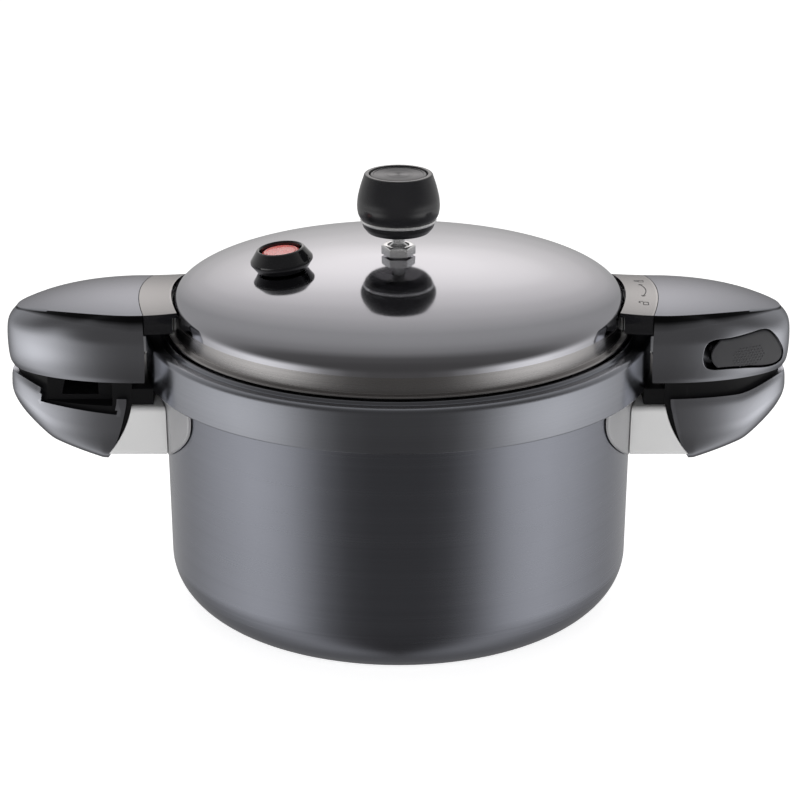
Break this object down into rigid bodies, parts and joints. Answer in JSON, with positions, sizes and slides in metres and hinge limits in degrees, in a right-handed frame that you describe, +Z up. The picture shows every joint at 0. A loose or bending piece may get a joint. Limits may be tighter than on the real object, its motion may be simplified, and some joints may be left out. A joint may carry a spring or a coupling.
{
  "type": "stovetop pressure cooker",
  "caption": "Dark metal stovetop pressure cooker with a domed bayonet lid, paired side handles, a slide lock, a dead-weight regulator and a red pressure indicator.",
  "frame": {"origin": "centre of the flat base, on the surface that the pot stands on", "axes": "+X through the right handles (the side with the lock slide's handle), -Y toward the side that carries the lock slide, +Z up the pot's axis"},
  "size_m": [0.3514, 0.2264, 0.2015],
  "materials": {
    "pot_anodised": "dark grey hard-anodised aluminium, satin, fine turned lines",
    "lid_polished": "dark grey anodised aluminium, polished to a mirror",
    "cast_grey": "fine bead-blasted",
    "bracket_steel": "polished",
    "handle_paint": "phenolic with a glossy metallic dark grey lacquer",
    "cap_paint": "satin metallic grey lacquer",
    "black_plastic": "black phenolic, fine grain",
    "slider_grey": "dark grey, fine grain",
    "screw_steel": "turned",
    "chrome": "bright plating",
    "weight_black": "black phenolic, satin",
    "weight_metal": "blackened, turned",
    "weight_disc": "grey, brushed",
    "indicator_black": "glossy black",
    "signal_red": "red, slightly translucent",
    "silicone": "off-white silicone"
  },
  "bodies": {
    "pot": {"pot_body": "pot_anodised", "pot_flange_right": "cast_grey", "pot_flange_left": "cast_grey", "pot_bracket_right": "bracket_steel", "pot_bracket_left": "bracket_steel", "pot_handle_right": "handle_paint", "pot_handle_left": "handle_paint", "pot_handle_insert_right": "black_plastic", "pot_handle_insert_left": "black_plastic", "pot_handle_screw_right": "screw_steel", "pot_handle_screw_left": "screw_steel"},
    "gasket": {"lid_gasket": "silicone"},
    "lid": {"lid_shell": "lid_polished", "lid_handle_right": "handle_paint", "lid_handle_left": "handle_paint", "lid_handle_base_right": "black_plastic", "lid_handle_base_left": "black_plastic", "lid_handle_cap_right": "cap_paint", "lid_handle_cap_left": "cap_paint", "lid_handle_bracket_right": "bracket_steel", "lid_handle_bracket_left": "bracket_steel", "lid_handle_screw_right": "screw_steel", "lid_handle_screw_left": "screw_steel", "vent_pipe": "chrome", "vent_nut": "chrome", "vent_nut_lower": "screw_steel", "vent_filter": "screw_steel", "indicator_housing": "indicator_black", "indicator_nut": "screw_steel", "lock_detent": "screw_steel"},
    "weight": {"weight_core": "weight_metal", "weight_ring": "chrome", "weight_cap": "weight_black", "weight_disc": "weight_disc"},
    "indicator": {"indicator_pin": "signal_red", "indicator_seal": "silicone"},
    "lock": {"lock_slider": "slider_grey", "lock_bolt": "screw_steel"}
  },
  "joints": [
    {"name": "lid_lift", "type": "slide", "parent": "pot", "child": "gasket", "axis": [0, 0, 1], "range_m": [0, 0.16]},
    {"name": "lid_turn", "type": "hinge", "parent": "gasket", "child": "lid", "pos_m": [0, 0, 0.12], "axis": [0, 0, 1], "range_deg": [0, 30]},
    {"name": "weight_lift", "type": "slide", "parent": "lid", "child": "weight", "axis": [0, 0, 1], "range_m": [0, 0.04]},
    {"name": "indicator_rise", "type": "slide", "parent": "lid", "child": "indicator", "axis": [-0.1068, -0.0251, 0.994], "range_m": [0, 0.004]},
    {"name": "lock_slide", "type": "slide", "parent": "lid", "child": "lock", "axis": [-1, 0, 0], "range_m": [0, 0.003]}
  ]
}
